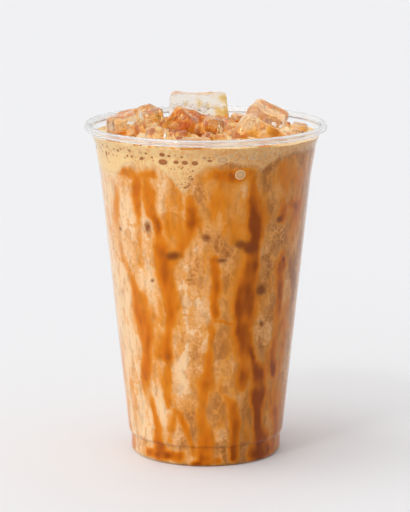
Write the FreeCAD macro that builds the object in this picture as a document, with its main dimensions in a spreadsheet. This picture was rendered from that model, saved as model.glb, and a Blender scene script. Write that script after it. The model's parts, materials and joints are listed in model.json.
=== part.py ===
"""Iced caramel coffee in a clear cold-drink cup: the cup, a pool of syrup, milk coffee, froth and ice.

Units are millimetres. The frame has +Z up, and its origin is at the middle of the cup's foot, on the
surface that the cup stands on. -Y is the front.
"""

import FreeCAD, Part
import Sketcher
import math
import os
import re

SIZES = {
    # The cup.
    "wall": 0.5,
    "cup_height": 135.5,
    "rim_radius": 49.0,
    "foot_radius": 30.7,
    "bead_radius": 1.4,  # the rolled rim's own section
    "bead_drop": 3.3,  # from the rim down to where the wall starts to turn out to the bead
    "collar_drop": 7.9,
    "collar_inset": 4.35,
    "shoulder_drop": 11.3,
    "shoulder_inset": 4.8,
    "neck_drop": 21.5,
    "neck_inset": 6.5,
    "band_height": 8.0,  # the stacking band round the foot
    "step_rise": 0.8,
    "step_width": 1.0,
    "heel_radius": 1.8,
    "ring_width": 2.3,  # the flat ring that the cup stands on
    "punt_slope": 1.6,
    "punt_rise": 1.7,
    # What fills it.
    "liquid_drop": 5.7,
    "froth_depth": 5.2,
    "pool_height": 3.4,
    # The heap of ice is laid out for a mouth of this radius, and grows and shrinks with the mouth.
    "heap_radius": 44.9,
    "ice_taper": 0.86,
}

# Where a layer bulges into the drink along the wall: degrees round from the front towards +X, and radius.
POOL_MOUNDS = [(-36, 7.5), (-4, 6.0), (21, 6.8), (50, 6.2), (98, 7.0), (142, 6.0), (187, 7.2), (236, 6.4)]
FROTH_SAGS = [(-13, 9.0), (32, 7.0), (74, 8.0), (121, 6.5), (168, 8.5), (214, 7.0), (262, 8.0), (301, 7.5)]

# Each block of ice: its size, how round its edges are, the depth and radius of the hollow melted in its
# top, its middle's place (to the right, back, and above the drink's surface) and its turn in degrees.
ICE_COLUMNS = ("width", "depth", "tall", "round", "hollow", "dish", "right", "back", "up", "yaw", "pitch", "roll")
ICE = {
    "ice_back": (27, 16, 20, 2.6, 1.4, 26, -3, 25.5, 4.6, 2, 1, -6),
    "ice_back_left": (12, 12, 13, 2.2, 0.6, 16, -25, 25.8, -1.2, 42, 6, -8),
    "ice_left": (12, 12, 17, 1.5, 0.6, 15, -22.6, 10.2, 2.0, 35, -16, 10),
    "ice_far_left": (14, 17, 18, 2.6, 0.8, 20, -31.0, -7.0, 2.0, -22, -12, 6),
    "ice_chip_left": (9, 11, 12, 1.4, 0.4, 13, -19.2, -24, 1.2, 25, 10, -12),
    "ice_centre": (17, 17, 18, 2.0, 0.9, 20, -7.5, -1.5, 0.8, 40, 20, 25),
    "ice_front": (15, 11, 12, 2.4, 0.6, 18, -4.0, -33.6, -1.6, 8, 4, 9),
    "ice_middle": (10, 11, 16, 1.8, 0.7, 17, 0.8, -15.0, 2.4, 30, 12, 8),
    "ice_right": (18, 17, 18, 3.2, 1.1, 22, 23, 8.4, 2.6, -12, 25, 8),
    "ice_back_right": (16, 13, 13, 2.4, 0.7, 20, 20.6, 28.2, -2.2, -30, -6, 8),
    "ice_front_right": (23, 13, 18, 3.0, 1.0, 22, 20.2, -18.0, -0.2, 4, 30, -10),
    "ice_far_right": (8, 9, 12, 1.8, 0.5, 14, 37.2, 3.0, -0.8, -8, 10, 6),
    "ice_chip_right": (6, 6, 8, 1.0, 0.3, 9, 36.4, -8.4, 0.6, 30, 12, 0),
}

# Radii and heights worked out from the sizes, as text for the expressions of the sketches.
BODY_RADIUS = "foot_radius + step_width"
BODY_HEIGHT = "band_height + step_rise"
PUNT_FOOT = "foot_radius - heel_radius - ring_width"
PUNT_RADIUS = f"{PUNT_FOOT} - punt_slope"
BEAD_INSIDE = "rim_radius - 2 * bead_radius"
BEAD_MIDDLE = "rim_radius - bead_radius"
BEAD_LEVEL = "cup_height - bead_radius"
LIQUID_HEIGHT = "(cup_height - liquid_drop)"
COLLAR_INSIDE = "(rim_radius - collar_inset - wall)"
COLLAR_SLOPE = f"(({BEAD_INSIDE} - {COLLAR_INSIDE}) / (collar_drop - bead_drop))"
MOUTH_RADIUS = f"({COLLAR_INSIDE} + (collar_drop - liquid_drop) * {COLLAR_SLOPE})"
HEAP_SCALE = f"({MOUTH_RADIUS} / heap_radius)"


def make_sheet(doc):
    """The spreadsheet of sizes: each row has a name, and a value whose cell has that name."""
    sheet = doc.addObject("Spreadsheet::Sheet", "sizes")
    cells = dict(SIZES)
    for block, values in ICE.items():
        cells.update({f"{block}_{column}": value for column, value in zip(ICE_COLUMNS, values)})
    for layer, bulges in (("pool", POOL_MOUNDS), ("froth", FROTH_SAGS)):
        for count, (turn, radius) in enumerate(bulges):
            cells[f"{layer}_turn_{count}_deg"] = turn
            cells[f"{layer}_bulge_{count}_mm"] = radius
    for row, (name, value) in enumerate(cells.items(), start=1):
        sheet.set(f"A{row}", name)
        sheet.set(f"B{row}", str(value))
        sheet.setAlias(f"B{row}", name)
    doc.recompute()
    return sheet


def cell(text):
    """An expression in which each name of a size is read from the sheet."""
    return re.sub(r"[a-z]\w*", lambda word: "sizes." + word.group(), text)


def value_of(sheet, text):
    """The present value of an expression of sizes."""
    return float(sheet.evalExpression(cell(text)))


def bulged_arc(start, end, radius, side, large):
    """An anticlockwise arc between two points that bulges to one side of the way from start to end."""
    chord = end - start
    across = FreeCAD.Vector(-chord.y, chord.x, 0).normalize() * (1 if side == "left" else -1)
    rise = math.sqrt(max(radius**2 - chord.Length**2 / 4, 0))
    middle = (start + end) / 2 + across * (radius + rise if large else radius - rise)
    return Part.Arc(end, middle, start) if side == "left" else Part.Arc(start, middle, end)


def half_section(sheet, body, name, start, steps):
    """A closed outline on a body's XZ plane, with each corner and radius tied to the sheet.

    A corner is a distance from the axis and a height, as text. A step is a corner, which a straight line
    goes to, or a corner with an arc's radius, the side that it bulges to, and whether it is the long way.
    """
    sketch = body.newObject("Sketcher::SketchObject", name)
    sketch.AttachmentSupport = (origin_plane(body, "XZ_Plane"), [""])
    sketch.MapMode = "FlatFace"

    def tie(kind, place, text):
        number = sketch.addConstraint(Sketcher.Constraint(kind, *place, value_of(sheet, text)))
        sketch.setExpression(f"Constraints[{number}]", cell(text))

    corners = [start] + [step[:2] for step in steps]
    points = [FreeCAD.Vector(*(value_of(sheet, text) for text in corner), 0) for corner in corners]
    ends = []  # each edge with the numbers of its first and last points
    for here, there, step in zip(points, points[1:], steps):
        if len(step) == 2:
            ends.append((sketch.addGeometry(Part.LineSegment(here, there), False), 1, 2))
            continue
        radius, side, large = step[2:]
        arc = bulged_arc(here, there, value_of(sheet, radius), side, large)
        first, last = (2, 1) if side == "left" else (1, 2)
        ends.append((sketch.addGeometry(arc, False), first, last))
        tie("Radius", (ends[-1][0],), radius)
    for (edge, _, last), (next_edge, first, _) in zip(ends, ends[1:] + ends[:1]):
        sketch.addConstraint(Sketcher.Constraint("Coincident", edge, last, next_edge, first))
    for (edge, _, last), (distance, height) in zip(ends, corners[1:]):
        tie("DistanceX", (-1, 1, edge, last), distance)
        tie("DistanceY", (-1, 1, edge, last), height)
    return sketch


def origin_plane(body, role):
    """One of a body's own origin planes."""
    return next(feature for feature in body.Origin.OriginFeatures if feature.Role == role)


def turned_body(doc, sheet, label, start, steps):
    """A body turned about the upright axis from a half section."""
    body = doc.addObject("PartDesign::Body", label)
    sketch = half_section(sheet, body, label + "_section", start, steps)
    turned = body.newObject("PartDesign::Revolution", label + "_turned")
    turned.Profile = sketch
    turned.ReferenceAxis = (sketch, ["V_Axis"])
    turned.Angle = 360
    return body


def make_cup(doc, sheet):
    """A thin wall with a punt and standing ring, a stacking band, a flared collar and a rolled rim."""
    outside = [
        (PUNT_RADIUS, "punt_rise"),
        (PUNT_FOOT, "0"),
        ("foot_radius - heel_radius", "0"),
        ("foot_radius", "heel_radius", "heel_radius", "right", False),
        ("foot_radius", "band_height"),
        (BODY_RADIUS, BODY_HEIGHT),
        ("rim_radius - neck_inset", "cup_height - neck_drop"),
        ("rim_radius - shoulder_inset", "cup_height - shoulder_drop"),
        ("rim_radius - collar_inset", "cup_height - collar_drop"),
        (f"{BEAD_INSIDE} + wall", "cup_height - bead_drop"),
        (f"{BEAD_INSIDE} + wall", BEAD_LEVEL),
    ]
    bead = [
        (BEAD_MIDDLE, f"{BEAD_LEVEL} - bead_radius + wall", "bead_radius - wall", "left", True),
        (BEAD_MIDDLE, f"{BEAD_LEVEL} - bead_radius"),
        (BEAD_INSIDE, BEAD_LEVEL, "bead_radius", "right", True),
    ]
    inside = [
        (BEAD_INSIDE, "cup_height - bead_drop"),
        (COLLAR_INSIDE, "cup_height - collar_drop"),
        ("rim_radius - shoulder_inset - wall", "cup_height - shoulder_drop"),
        ("rim_radius - neck_inset - wall", "cup_height - neck_drop"),
        (f"{BODY_RADIUS} - wall", BODY_HEIGHT),
        ("foot_radius - wall", "band_height"),
        ("foot_radius - wall", "heel_radius"),
        ("foot_radius - heel_radius", "wall", "heel_radius - wall", "left", False),
        (PUNT_FOOT, "wall"),
        (PUNT_RADIUS, "punt_rise + wall"),
        ("0", "punt_rise + wall"),
        ("0", "punt_rise"),
    ]
    return turned_body(doc, sheet, "cup", ("0", "punt_rise"), outside + bead + inside)


def make_filling(doc, sheet):
    """All that the cup holds up to the drink's surface, against its inner wall."""
    steps = [
        (PUNT_RADIUS, "punt_rise + wall"),
        (PUNT_FOOT, "wall"),
        ("foot_radius - heel_radius", "wall"),
        ("foot_radius - wall", "heel_radius", "heel_radius - wall", "right", False),
        ("foot_radius - wall", "band_height"),
        (f"{BODY_RADIUS} - wall", BODY_HEIGHT),
        ("rim_radius - neck_inset - wall", "cup_height - neck_drop"),
        ("rim_radius - shoulder_inset - wall", "cup_height - shoulder_drop"),
        (COLLAR_INSIDE, "cup_height - collar_drop"),
        (MOUTH_RADIUS, LIQUID_HEIGHT),
        ("0", LIQUID_HEIGHT),
        ("0", "punt_rise + wall"),
    ]
    return turned_body(doc, sheet, "filling", ("0", "punt_rise + wall"), steps)


def layer_space(doc, name, bottom, top, bulge_distance, bulge_level, count):
    """A slab wider than the cup, with round bulges standing at its rim where the wall is."""
    slab = doc.addObject("Part::Cylinder", name + "_slab")
    slab.setExpression("Radius", cell("2 * rim_radius"))
    slab.setExpression("Height", cell(f"{top} - ({bottom})"))
    slab.setExpression("Placement.Base.z", cell(bottom))
    bulges = []
    for number in range(count):
        bulge = doc.addObject("Part::Sphere", f"{name}_bulge_{number}")
        turn = cell(f"{name}_turn_{number}_deg")
        distance = cell(bulge_distance)
        bulge.setExpression("Radius", cell(f"{name}_bulge_{number}_mm"))
        bulge.setExpression("Placement.Base.x", f"({distance}) * sin({turn} * 1deg)")
        bulge.setExpression("Placement.Base.y", f"-({distance}) * cos({turn} * 1deg)")
        bulge.setExpression("Placement.Base.z", cell(bulge_level))
        bulges.append(bulge)
    space = doc.addObject("Part::MultiFuse", name + "_space")
    space.Shapes = [slab] + bulges
    return space


def make_ice_block(doc, label):
    """A half-melted block: tapered, round-edged and hollowed on top, set in its place in the heap."""
    size = {column: f"{label}_{column} * {HEAP_SCALE}" for column in ICE_COLUMNS[:9]}
    body = doc.addObject("PartDesign::Body", label)
    block = body.newObject("PartDesign::AdditiveWedge", label + "_block")
    for axis, column in (("X", "width"), ("Z", "depth")):
        block.setExpression(f"{axis}min", cell(f"-{size[column]} / 2"))
        block.setExpression(f"{axis}max", cell(f"{size[column]} / 2"))
        block.setExpression(f"{axis}2min", cell(f"-{size[column]} / 2 * ice_taper"))
        block.setExpression(f"{axis}2max", cell(f"{size[column]} / 2 * ice_taper"))
    block.setExpression("Ymin", cell(f"-{size['tall']} / 2"))
    block.setExpression("Ymax", cell(f"{size['tall']} / 2"))
    doc.recompute()
    rounded = body.newObject("PartDesign::Fillet", label + "_rounded")
    rounded.Base = (block, [f"Edge{number}" for number in range(1, len(block.Shape.Edges) + 1)])
    rounded.setExpression("Radius", cell(size["round"]))
    melted = body.newObject("PartDesign::SubtractiveSphere", label + "_melted")
    melted.setExpression("Radius", cell(size["dish"]))
    melted.setExpression("Placement.Base.y", cell(f"{size['tall']} / 2 + {size['dish']} - {size['hollow']}"))
    place = f"vector({cell(size['right'])}; {cell(size['back'])}; {cell(LIQUID_HEIGHT + ' + ' + size['up'])})"
    upright = 90  # the wedge tapers along its own Y
    turn = f"{cell(label + '_yaw')}; {cell(label + '_pitch')}; {cell(label + '_roll')} + {upright}"
    body.setExpression("Placement", f"placement({place}; rotation({turn}))")
    return body


def boolean(doc, kind, label, base, tool):
    """A cut or a common of two objects."""
    result = doc.addObject(kind, label)
    result.Base = base
    result.Tool = tool
    return result


def make_contents(doc, sheet):
    """The syrup pool, the drink and the froth, which share the filling and leave room for the ice."""
    ice = [make_ice_block(doc, label) for label in ICE]
    heap = doc.addObject("Part::Compound", "heap")
    heap.Links = ice
    filling = make_filling(doc, sheet)
    froth_bottom = f"{LIQUID_HEIGHT} - froth_depth"
    pool_space = layer_space(doc, "pool", "0", "pool_height", "foot_radius - wall", "0", len(POOL_MOUNDS))
    froth_space = layer_space(
        doc, "froth", froth_bottom, "cup_height", "rim_radius - shoulder_inset - wall", froth_bottom, len(FROTH_SAGS)
    )
    pool = boolean(doc, "Part::Common", "caramel_pool", filling, pool_space)
    top = boolean(doc, "Part::Common", "froth_and_ice", filling, froth_space)
    froth = boolean(doc, "Part::Cut", "froth", top, heap)
    above_pool = boolean(doc, "Part::Cut", "above_pool", filling, pool_space)
    below_froth = boolean(doc, "Part::Cut", "below_froth", above_pool, froth_space)
    drink = boolean(doc, "Part::Cut", "drink", below_froth, heap)
    return [pool, drink, froth] + ice


def main():
    doc = FreeCAD.newDocument("iced_coffee")
    sheet = make_sheet(doc)
    pieces = [make_cup(doc, sheet)] + make_contents(doc, sheet)
    doc.recompute()
    for thing in doc.Objects:
        if {"Invalid", "Error"} & set(thing.State):
            raise RuntimeError(f"{thing.Label} did not build: {thing.State}")
    for piece in pieces:
        if piece.Shape.isNull() or not piece.Shape.isValid():
            raise RuntimeError(f"{piece.Label} has no valid shape")
    os.makedirs("parts", exist_ok=True)
    for piece in pieces:
        piece.Shape.exportStep(f"parts/{piece.Label}.step")
        print(f"{piece.Label}: {len(piece.Shape.Solids)} solid, {piece.Shape.Volume:.0f} mm3")


main()
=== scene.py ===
"""Iced caramel coffee in a clear cup: the finish of the cup, the drink behind its wall, the froth, the
syrup that runs down inside the wall and the half-melted ice that stands out of the drink.

Lengths are metres and angles degrees. Round the cup, 0 degrees is the front (-Y) and 90 is +X.
"""

import json
import math
import random
from contextlib import contextmanager

import bpy
import numpy as np
from bpy.props import FloatProperty, FloatVectorProperty, PointerProperty
from mathutils import Euler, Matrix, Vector

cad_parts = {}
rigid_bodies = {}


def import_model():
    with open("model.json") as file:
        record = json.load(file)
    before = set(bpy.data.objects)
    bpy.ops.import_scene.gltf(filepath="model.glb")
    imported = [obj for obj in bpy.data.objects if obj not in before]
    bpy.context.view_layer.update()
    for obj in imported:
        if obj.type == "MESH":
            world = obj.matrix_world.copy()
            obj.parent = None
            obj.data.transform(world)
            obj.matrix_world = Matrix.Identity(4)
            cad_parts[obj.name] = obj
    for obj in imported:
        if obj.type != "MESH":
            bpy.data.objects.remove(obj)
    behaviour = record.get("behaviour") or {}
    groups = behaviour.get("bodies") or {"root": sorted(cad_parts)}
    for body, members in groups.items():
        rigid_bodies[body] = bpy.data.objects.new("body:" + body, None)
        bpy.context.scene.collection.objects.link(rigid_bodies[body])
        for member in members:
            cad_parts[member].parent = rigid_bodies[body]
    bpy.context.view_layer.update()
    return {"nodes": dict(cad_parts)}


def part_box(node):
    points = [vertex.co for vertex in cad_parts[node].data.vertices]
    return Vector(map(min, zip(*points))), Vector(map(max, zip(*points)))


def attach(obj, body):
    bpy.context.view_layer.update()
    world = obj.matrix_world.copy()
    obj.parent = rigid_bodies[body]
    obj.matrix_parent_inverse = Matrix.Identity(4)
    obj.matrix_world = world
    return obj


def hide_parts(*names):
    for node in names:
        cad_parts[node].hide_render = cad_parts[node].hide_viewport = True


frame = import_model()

bl_info = {
    "name": "Iced coffee",
    "version": (1, 0, 0),
    "blender": (4, 5, 0),
    "location": "3D View > Sidebar > Iced coffee",
    "description": "Builds a clear cup of iced caramel coffee on its packed solids",
    "category": "Object",
}

_, CUP_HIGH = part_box("cup")
_, FROTH_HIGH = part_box("froth")
MM = 0.001

# Syrup and froth lie this far behind the drink where they don't show, and froth comes out this far from there.
BEHIND = 0.25 * MM
FROTH_OUT = 0.43 * MM
# The drink is cut wider than the ice and deeper than the froth, and the froth narrower than the ice.
DRINK_WIDER = 0.2 * MM
DRINK_DEEPER = 0.7 * MM
FROTH_NARROWER = 0.3 * MM
# Distances from the wall at which the heap between the ice starts and is full.
HEAP_FOOT = 4 * MM
HEAP_FULL = 16 * MM
# How far the fillings reach into the cup's floor.
FLOOR_REACH = 0.12 * MM
SHARDS = 44
SHARD_TRIES = 1600
PALE_BUBBLE_TRIES = 340
TOP_BUBBLES = 420


def linear(red, green, blue):
    """A colour given as 0 to 255 on a screen, as the linear values that Blender works in."""
    shares = (red / 255, green / 255, blue / 255)
    return tuple(c / 12.92 if c <= 0.04045 else ((c + 0.055) / 1.055) ** 2.4 for c in shares)


def length(name, description, default):
    return FloatProperty(name=name, description=description, default=default, unit="LENGTH", precision=5)


def tint(name, description, default):
    return FloatVectorProperty(
        name=name, description=description, default=default, size=3, subtype="COLOR", min=0, max=1
    )


# ---------------------------------------------------------------- sizes and colours


class CupSizes(bpy.types.PropertyGroup):
    """The cup's half section, measured from its rim and its foot."""

    height: length("Height", "Foot to the top of the rim", CUP_HIGH[2])
    rim_radius: length("Rim radius", "Outside of the rolled rim", CUP_HIGH[0])
    foot_radius: length("Foot radius", "Outside of the stacking band", 30.7 * MM)
    wall: length("Wall", "Thickness of the plastic", 0.5 * MM)
    bead_radius: length("Bead radius", "Section of the rolled rim", 1.4 * MM)
    bead_drop: length("Bead drop", "Rim down to where the wall turns out to the bead", 3.3 * MM)
    collar_drop: length("Collar drop", "Rim down to the foot of the flare", 7.9 * MM)
    collar_inset: length("Collar inset", "Rim radius less the collar's radius", 4.35 * MM)
    shoulder_drop: length("Shoulder drop", "Rim down to the shoulder", 11.3 * MM)
    shoulder_inset: length("Shoulder inset", "Rim radius less the shoulder's radius", 4.8 * MM)
    neck_drop: length("Neck drop", "Rim down to the top of the straight taper", 21.5 * MM)
    neck_inset: length("Neck inset", "Rim radius less the neck's radius", 6.5 * MM)
    band_height: length("Band height", "Stacking band round the foot", 8.0 * MM)
    step_rise: length("Step rise", "Height of the step above the band", 0.8 * MM)
    step_width: length("Step width", "How far the step stands out", 1.0 * MM)
    heel_radius: length("Heel radius", "Rounding of the foot's edge", 1.8 * MM)
    ring_width: length("Ring width", "Flat ring that the cup stands on", 2.3 * MM)
    punt_slope: length("Punt slope", "Width of the slope up to the raised floor", 1.6 * MM)
    punt_rise: length("Punt rise", "Height of the raised floor", 1.7 * MM)


class DrinkSizes(bpy.types.PropertyGroup):
    """Levels and thicknesses of what fills the cup."""

    level: length("Level", "Surface of the froth", FROTH_HIGH[2])
    wet: length("Wetting", "How far the drink reaches into the wall, so that no air shows", 0.12 * MM)
    streak: length("Streak", "How far syrup reaches into the wall past the drink", 0.12 * MM)
    meniscus: length("Meniscus", "How far the froth climbs the wall at the front", 1.9 * MM)
    hollow: length("Hollow", "How far down the ice is seen in the drink", 5.5 * MM)
    heap: length("Heap", "How far froth and slush are heaped up between the ice", 2.4 * MM)


class DrinkColours(bpy.types.PropertyGroup):
    """Colours of the drink, from milk to the darkest syrup."""

    milk: tint("Milk", "Palest milk against the wall", linear(254, 222, 178))
    coffee: tint("Milk coffee", "The body of the drink", linear(238, 174, 98))
    # Darkest end of the body colours, reached where the coffee is strongest and where the painted shade on the
    # right side is deepest.
    brew: tint("Strong coffee", "Milk coffee with the least milk", linear(184, 112, 50))
    thin: tint("Thin syrup", "Syrup mixed into milk coffee", linear(244, 178, 88))
    amber: tint("Amber syrup", "A thin streak of syrup", linear(234, 150, 34))
    caramel: tint("Syrup", "A full streak of syrup", linear(224, 126, 6))
    dark: tint("Thick syrup", "The thickest syrup", linear(168, 80, 2))
    froth: tint("Froth", "Fine froth", linear(255, 224, 164))
    # The inside of a bubble is painted brown as the shade in its hollow.
    bubble: tint("Bubble", "The inside of a bubble against the wall", linear(186, 118, 66))
    spot: tint("Coffee", "A spot of strong coffee", linear(144, 72, 24))
    ice: tint("Ice", "Clear ice", linear(249, 243, 234))
    cloudy_ice: tint("Cloudy ice", "Ice with milk coffee run over it", linear(249, 239, 226))
    stained_ice: tint("Stained ice", "Ice wetted with thin syrup", linear(255, 224, 172))
    syrup_on_ice: tint("Syrup on ice", "Ice under a film of syrup", linear(240, 190, 96))
    thick_on_ice: tint("Thick syrup on ice", "Ice under the thickest syrup", linear(200, 138, 56))


class StageSettings(bpy.types.PropertyGroup):
    """The floor, the light and the camera."""

    floor: tint("Floor", "Pale floor", linear(238, 238, 240))
    camera_distance: length("Camera distance", "Cup's axis to the camera", 1.05)
    camera_height: length("Camera height", "Height of the camera", 0.294)
    camera_tilt: FloatProperty(
        name="Camera tilt", description="Down from level", default=math.radians(11.5), subtype="ANGLE"
    )
    lens: FloatProperty(name="Lens", description="Focal length in millimetres", default=231.1)


# ---------------------------------------------------------------- finishes


class Signal:
    """A number that changes over a surface. Arithmetic on it adds Math nodes."""

    def __init__(self, finish, socket):
        self.finish = finish
        self.socket = socket

    def math(self, operation, *values):
        node = self.finish.node("ShaderNodeMath", {"operation": operation}, dict(enumerate(values)))
        return Signal(self.finish, node.outputs[0])

    def __add__(self, other):
        return self.math("ADD", self, other)

    def __mul__(self, other):
        return self.math("MULTIPLY", self, other)

    def __sub__(self, other):
        return self.math("SUBTRACT", self, other)

    def __rsub__(self, other):
        return self.math("SUBTRACT", other, self)

    def between(self, low, high):
        """0 below low, 1 above high and smooth between, or the other way round where low is above high."""
        ends = (0, 1) if low < high else (1, 0)
        span = {"From Min": min(low, high), "From Max": max(low, high), "To Min": ends[0], "To Max": ends[1]}
        settings = {"interpolation_type": "SMOOTHSTEP"}
        node = self.finish.node("ShaderNodeMapRange", settings, {"Value": self, **span})
        return Signal(self.finish, node.outputs["Result"])


class Finish:
    """A material made of nodes."""

    def __init__(self, name):
        self.material = bpy.data.materials.new(name)
        self.material.use_nodes = True
        self.tree = self.material.node_tree
        self.tree.nodes.clear()
        self.place = self.node("ShaderNodeTexCoord").outputs["Object"]

    def node(self, kind, settings=None, inputs=None):
        """A node of one type, with its settings and with values or links for its sockets."""
        node = self.tree.nodes.new(kind)
        for name, value in (settings or {}).items():
            if name == "stops":
                self.set_stops(node.color_ramp, value)
            else:
                setattr(node, name, value)
        for name, value in (inputs or {}).items():
            value = value.socket if isinstance(value, Signal) else value
            if isinstance(value, bpy.types.NodeSocket):
                self.tree.links.new(value, node.inputs[name])
            else:
                node.inputs[name].default_value = value
        return node

    def set_stops(self, ramp, stops):
        while len(ramp.elements) < len(stops):
            ramp.elements.new(1.0)
        for element, (position, colour) in zip(ramp.elements, stops):
            element.position = position
            element.color = (*colour, 1)

    def attribute(self, name):
        return Signal(self, self.node("ShaderNodeAttribute", {"attribute_name": name}).outputs["Fac"])

    def stretched(self, scale):
        """The place on the piece, stretched, for patterns that run one way."""
        return self.node("ShaderNodeMapping", None, {"Vector": self.place, "Scale": scale}).outputs["Vector"]

    def noise(self, size, detail=2.0, place=None):
        """Soft noise from 0 to 1 whose lumps are about one size across, in metres."""
        inputs = {"Vector": place or self.place, "Scale": 1 / size, "Detail": detail}
        return Signal(self, self.node("ShaderNodeTexNoise", None, inputs).outputs["Fac"])

    def cells(self, size, feature="F1", place=None, output="Distance"):
        """Distance, or a colour for each cell, in a pattern of cells of about one size, in metres."""
        inputs = {"Vector": place or self.place, "Scale": 1 / size}
        return Signal(self, self.node("ShaderNodeTexVoronoi", {"feature": feature}, inputs).outputs[output])

    def vector(self, operation, inputs):
        return self.node("ShaderNodeVectorMath", {"operation": operation}, inputs).outputs[0]

    def wandering(self, scale, size, reach):
        """The stretched place pushed about by noise, so that cells lose their straight edges."""
        inputs = {"Vector": self.place, "Scale": 1 / size, "Detail": 3.0}
        push = self.node("ShaderNodeTexNoise", None, inputs).outputs["Color"]
        centred = self.vector("SUBTRACT", {0: push, 1: (0.5, 0.5, 0.5)})
        pushed = self.vector("SCALE", {0: centred, "Scale": reach})
        return self.vector("ADD", {0: self.stretched(scale), 1: pushed})

    def ramp(self, signal, stops):
        return self.node("ShaderNodeValToRGB", {"stops": stops}, {"Fac": signal}).outputs["Color"]

    def blend(self, share, first, second, how="MIX"):
        """One colour over another. The Mix node's colour sockets are 6 and 7, and its result is 2."""
        first, second = (c if isinstance(c, bpy.types.NodeSocket) else (*c, 1) for c in (first, second))
        inputs = {0: share, 6: first, 7: second}
        return self.node("ShaderNodeMix", {"data_type": "RGBA", "blend_type": how}, inputs).outputs[2]

    def bump(self, height, distance, strength=1.0):
        inputs = {"Height": height, "Distance": distance, "Strength": strength}
        return self.node("ShaderNodeBump", None, inputs).outputs["Normal"]

    def surface(self, inputs):
        """A Principled surface, put on the material's output."""
        shader = self.node("ShaderNodeBsdfPrincipled", None, inputs).outputs[0]
        return self.show(shader)

    def show(self, shader):
        self.node("ShaderNodeOutputMaterial", None, {"Surface": shader})
        return self.material

    def clear(self, inputs):
        """A clear surface that lets light through to what is behind it."""
        seen = self.node("ShaderNodeBsdfPrincipled", None, inputs).outputs[0]
        lit = self.node("ShaderNodeBsdfTransparent").outputs[0]
        is_shadow = self.node("ShaderNodeLightPath").outputs["Is Shadow Ray"]
        return self.show(self.node("ShaderNodeMixShader", None, {0: is_shadow, 1: seen, 2: lit}).outputs[0])


def cup_finish():
    finish = Finish("clear plastic")
    haze = finish.noise(9 * MM, 3.0).between(0.45, 0.75) * 0.03 + 0.01
    return finish.clear(
        {
            "Base Color": (0.99, 0.99, 0.985, 1),
            "Roughness": haze,
            "IOR": 1.45,
            "Specular Tint": (0.3, 0.3, 0.3, 1),
            "Transmission Weight": 1.0,
        }
    )


def rim_finish():
    """The rolled rim, where the plastic is curled over itself and looks cloudier."""
    finish = Finish("rolled rim")
    streaks = finish.noise(9 * MM, 2.0).between(0.4, 0.7) * 0.06 + 0.05
    return finish.clear(
        {"Base Color": (0.95, 0.95, 0.95, 1), "Roughness": streaks, "IOR": 1.45, "Transmission Weight": 0.9}
    )


def drink_finish(name, colours, roughness, gloss=0.0):
    """Milk coffee, syrup and froth as they show against the wall, from the piece's own attributes."""
    finish = Finish(name)
    flow = finish.noise(6 * MM, 4.0, finish.stretched((1, 1, 0.3)))
    grain = finish.noise(1.2 * MM, 3.0)
    curds = finish.cells(1.4 * MM)
    grainy = finish.attribute("grainy")
    fine = finish.cells(0.8 * MM)
    lumps = finish.wandering((1, 1, 0.5), 5 * MM, 5 * MM)
    patches = finish.cells(4.5 * MM, "F1", lumps, "Color").socket
    shade = Signal(finish, finish.node("ShaderNodeSeparateColor", None, {0: patches}).outputs[0])
    seam = finish.cells(4.5 * MM, "DISTANCE_TO_EDGE", lumps).between(0.09, 0.0) * flow.between(0.42, 0.58)
    glints = fine.between(0.2, 0.08) * (grainy * 0.5 + 0.1)
    # The strength attribute also carries painted shade on the right side, so body, syrup and froth are painted
    # darker there.
    brew = finish.attribute("brew") + (flow - 0.5) * 0.6 + (grain - 0.5) * 0.5
    brew = brew + (0.4 - curds) * (grainy * 0.8 + 0.2) + (0.4 - fine) * 0.3 + (shade - 0.5) * 0.5
    body = finish.ramp(brew, [(0.0, colours.milk), (0.5, colours.coffee), (1.0, colours.brew)])
    syrup = finish.attribute("syrup")
    thick = syrup + (finish.attribute("brew") - 0.35) * 0.1 + (flow - 0.5) * 0.35
    thick = thick + (grain - 0.5) * 0.12 + (shade - 0.5) * 0.12
    streak = finish.ramp(
        thick, [(0.2, colours.thin), (0.45, colours.amber), (0.68, colours.caramel), (1.0, colours.dark)]
    )
    cover = syrup + seam * 0.22 + (flow - 0.5) * 0.24 + (grain - 0.5) * 0.1 + (shade - 0.5) * 0.1
    colour = finish.blend(cover.between(0.04, 0.46), body, streak)
    foam = finish.attribute("foam")
    froth_shade = grain * 0.7 + (curds - 0.4) * 0.3 + finish.attribute("brew") * 0.34
    foamy = finish.ramp(froth_shade, [(0.4, colours.froth), (0.85, colours.coffee), (1.0, colours.brew)])
    colour = finish.blend(foam * 0.92, colour, foamy)
    marbling = finish.noise(2.2 * MM, 2.0, finish.stretched((1, 1, 0.4)))
    dapple = marbling.between(0.46, 0.68) * (1 - foam) * 0.26
    colour = finish.blend(dapple, colour, linear(176, 136, 104), "MULTIPLY")
    colour = finish.blend(glints, colour, colours.milk)
    colour = finish.blend(finish.attribute("blot"), colour, colours.spot)
    return finish.surface(
        {
            "Base Color": colour,
            "Roughness": roughness,
            "Specular IOR Level": gloss,
            "Normal": finish.bump(grain + curds * grainy, 0.3 * MM, 0.5),
        }
    )


def ice_finish(colours):
    """Wet ice, cloudy in places, with syrup over it where the piece's own attribute says so."""
    finish = Finish("wet ice")
    cloud = finish.noise(6 * MM, 3.0).between(0.42, 0.66)
    streaks = finish.noise(2.6 * MM, 3.0, finish.stretched((1, 1, 0.35)))
    syrup = finish.attribute("syrup") + (streaks - 0.5) * 0.9 + (cloud - 0.5) * 0.15
    colour = finish.blend(cloud, colours.ice, colours.cloudy_ice)
    film = finish.ramp(
        syrup, [(0.3, colours.stained_ice), (0.65, colours.syrup_on_ice), (1.0, colours.thick_on_ice)]
    )
    colour = finish.blend(syrup.between(0.15, 0.6), colour, film)
    return finish.clear(
        {
            "Base Color": colour,
            "Roughness": cloud * 0.08 + 0.02,
            "IOR": 1.31,
            "Transmission Weight": 0.94,
            "Normal": finish.bump(finish.noise(4 * MM, 2.0) + streaks * 0.15, 1.2 * MM, 0.6),
        }
    )


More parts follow.
